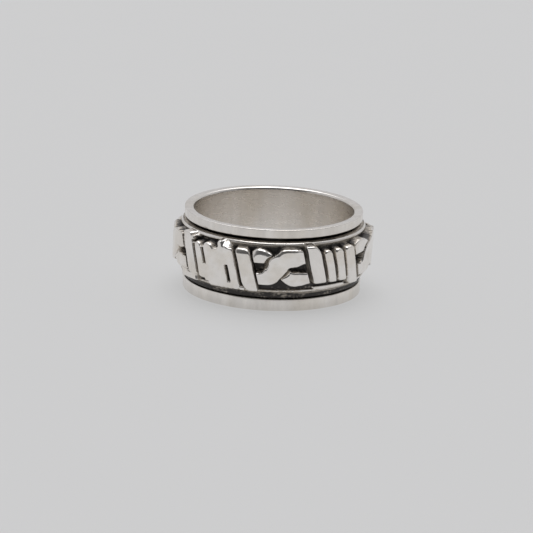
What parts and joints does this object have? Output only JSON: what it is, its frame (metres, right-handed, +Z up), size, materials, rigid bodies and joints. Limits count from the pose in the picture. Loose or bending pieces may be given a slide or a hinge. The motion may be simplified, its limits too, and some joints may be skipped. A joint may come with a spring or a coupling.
{
  "type": "spinner ring",
  "caption": "Wide silver ring whose outer band, with raised rope ornament on a dark sunken field, turns freely between the rims of the inner band.",
  "frame": {"origin": "middle of the lower rim's underside, on the surface that the ring lies on", "axes": "+Z up along the finger hole's axis, -Y towards the viewer of the picture, +X to the right"},
  "size_m": [0.0238, 0.0238, 0.0098],
  "materials": {
    "polished_silver": "polished silver with fine wear scratches, satin inside the finger hole",
    "oxidised_silver": "cast silver, blackened in the field and the grooves, polished bright on the raised ornament and the borders"
  },
  "bodies": {
    "inner_ring": {"inner_band": "polished_silver"},
    "spinner": {"spinner_band": "oxidised_silver"}
  },
  "joints": [
    {"name": "spinner_turn", "type": "hinge", "parent": "inner_ring", "child": "spinner", "pos_m": [0, 0, 0.0049], "axis": [0, 0, 1], "continuous": true}
  ]
}
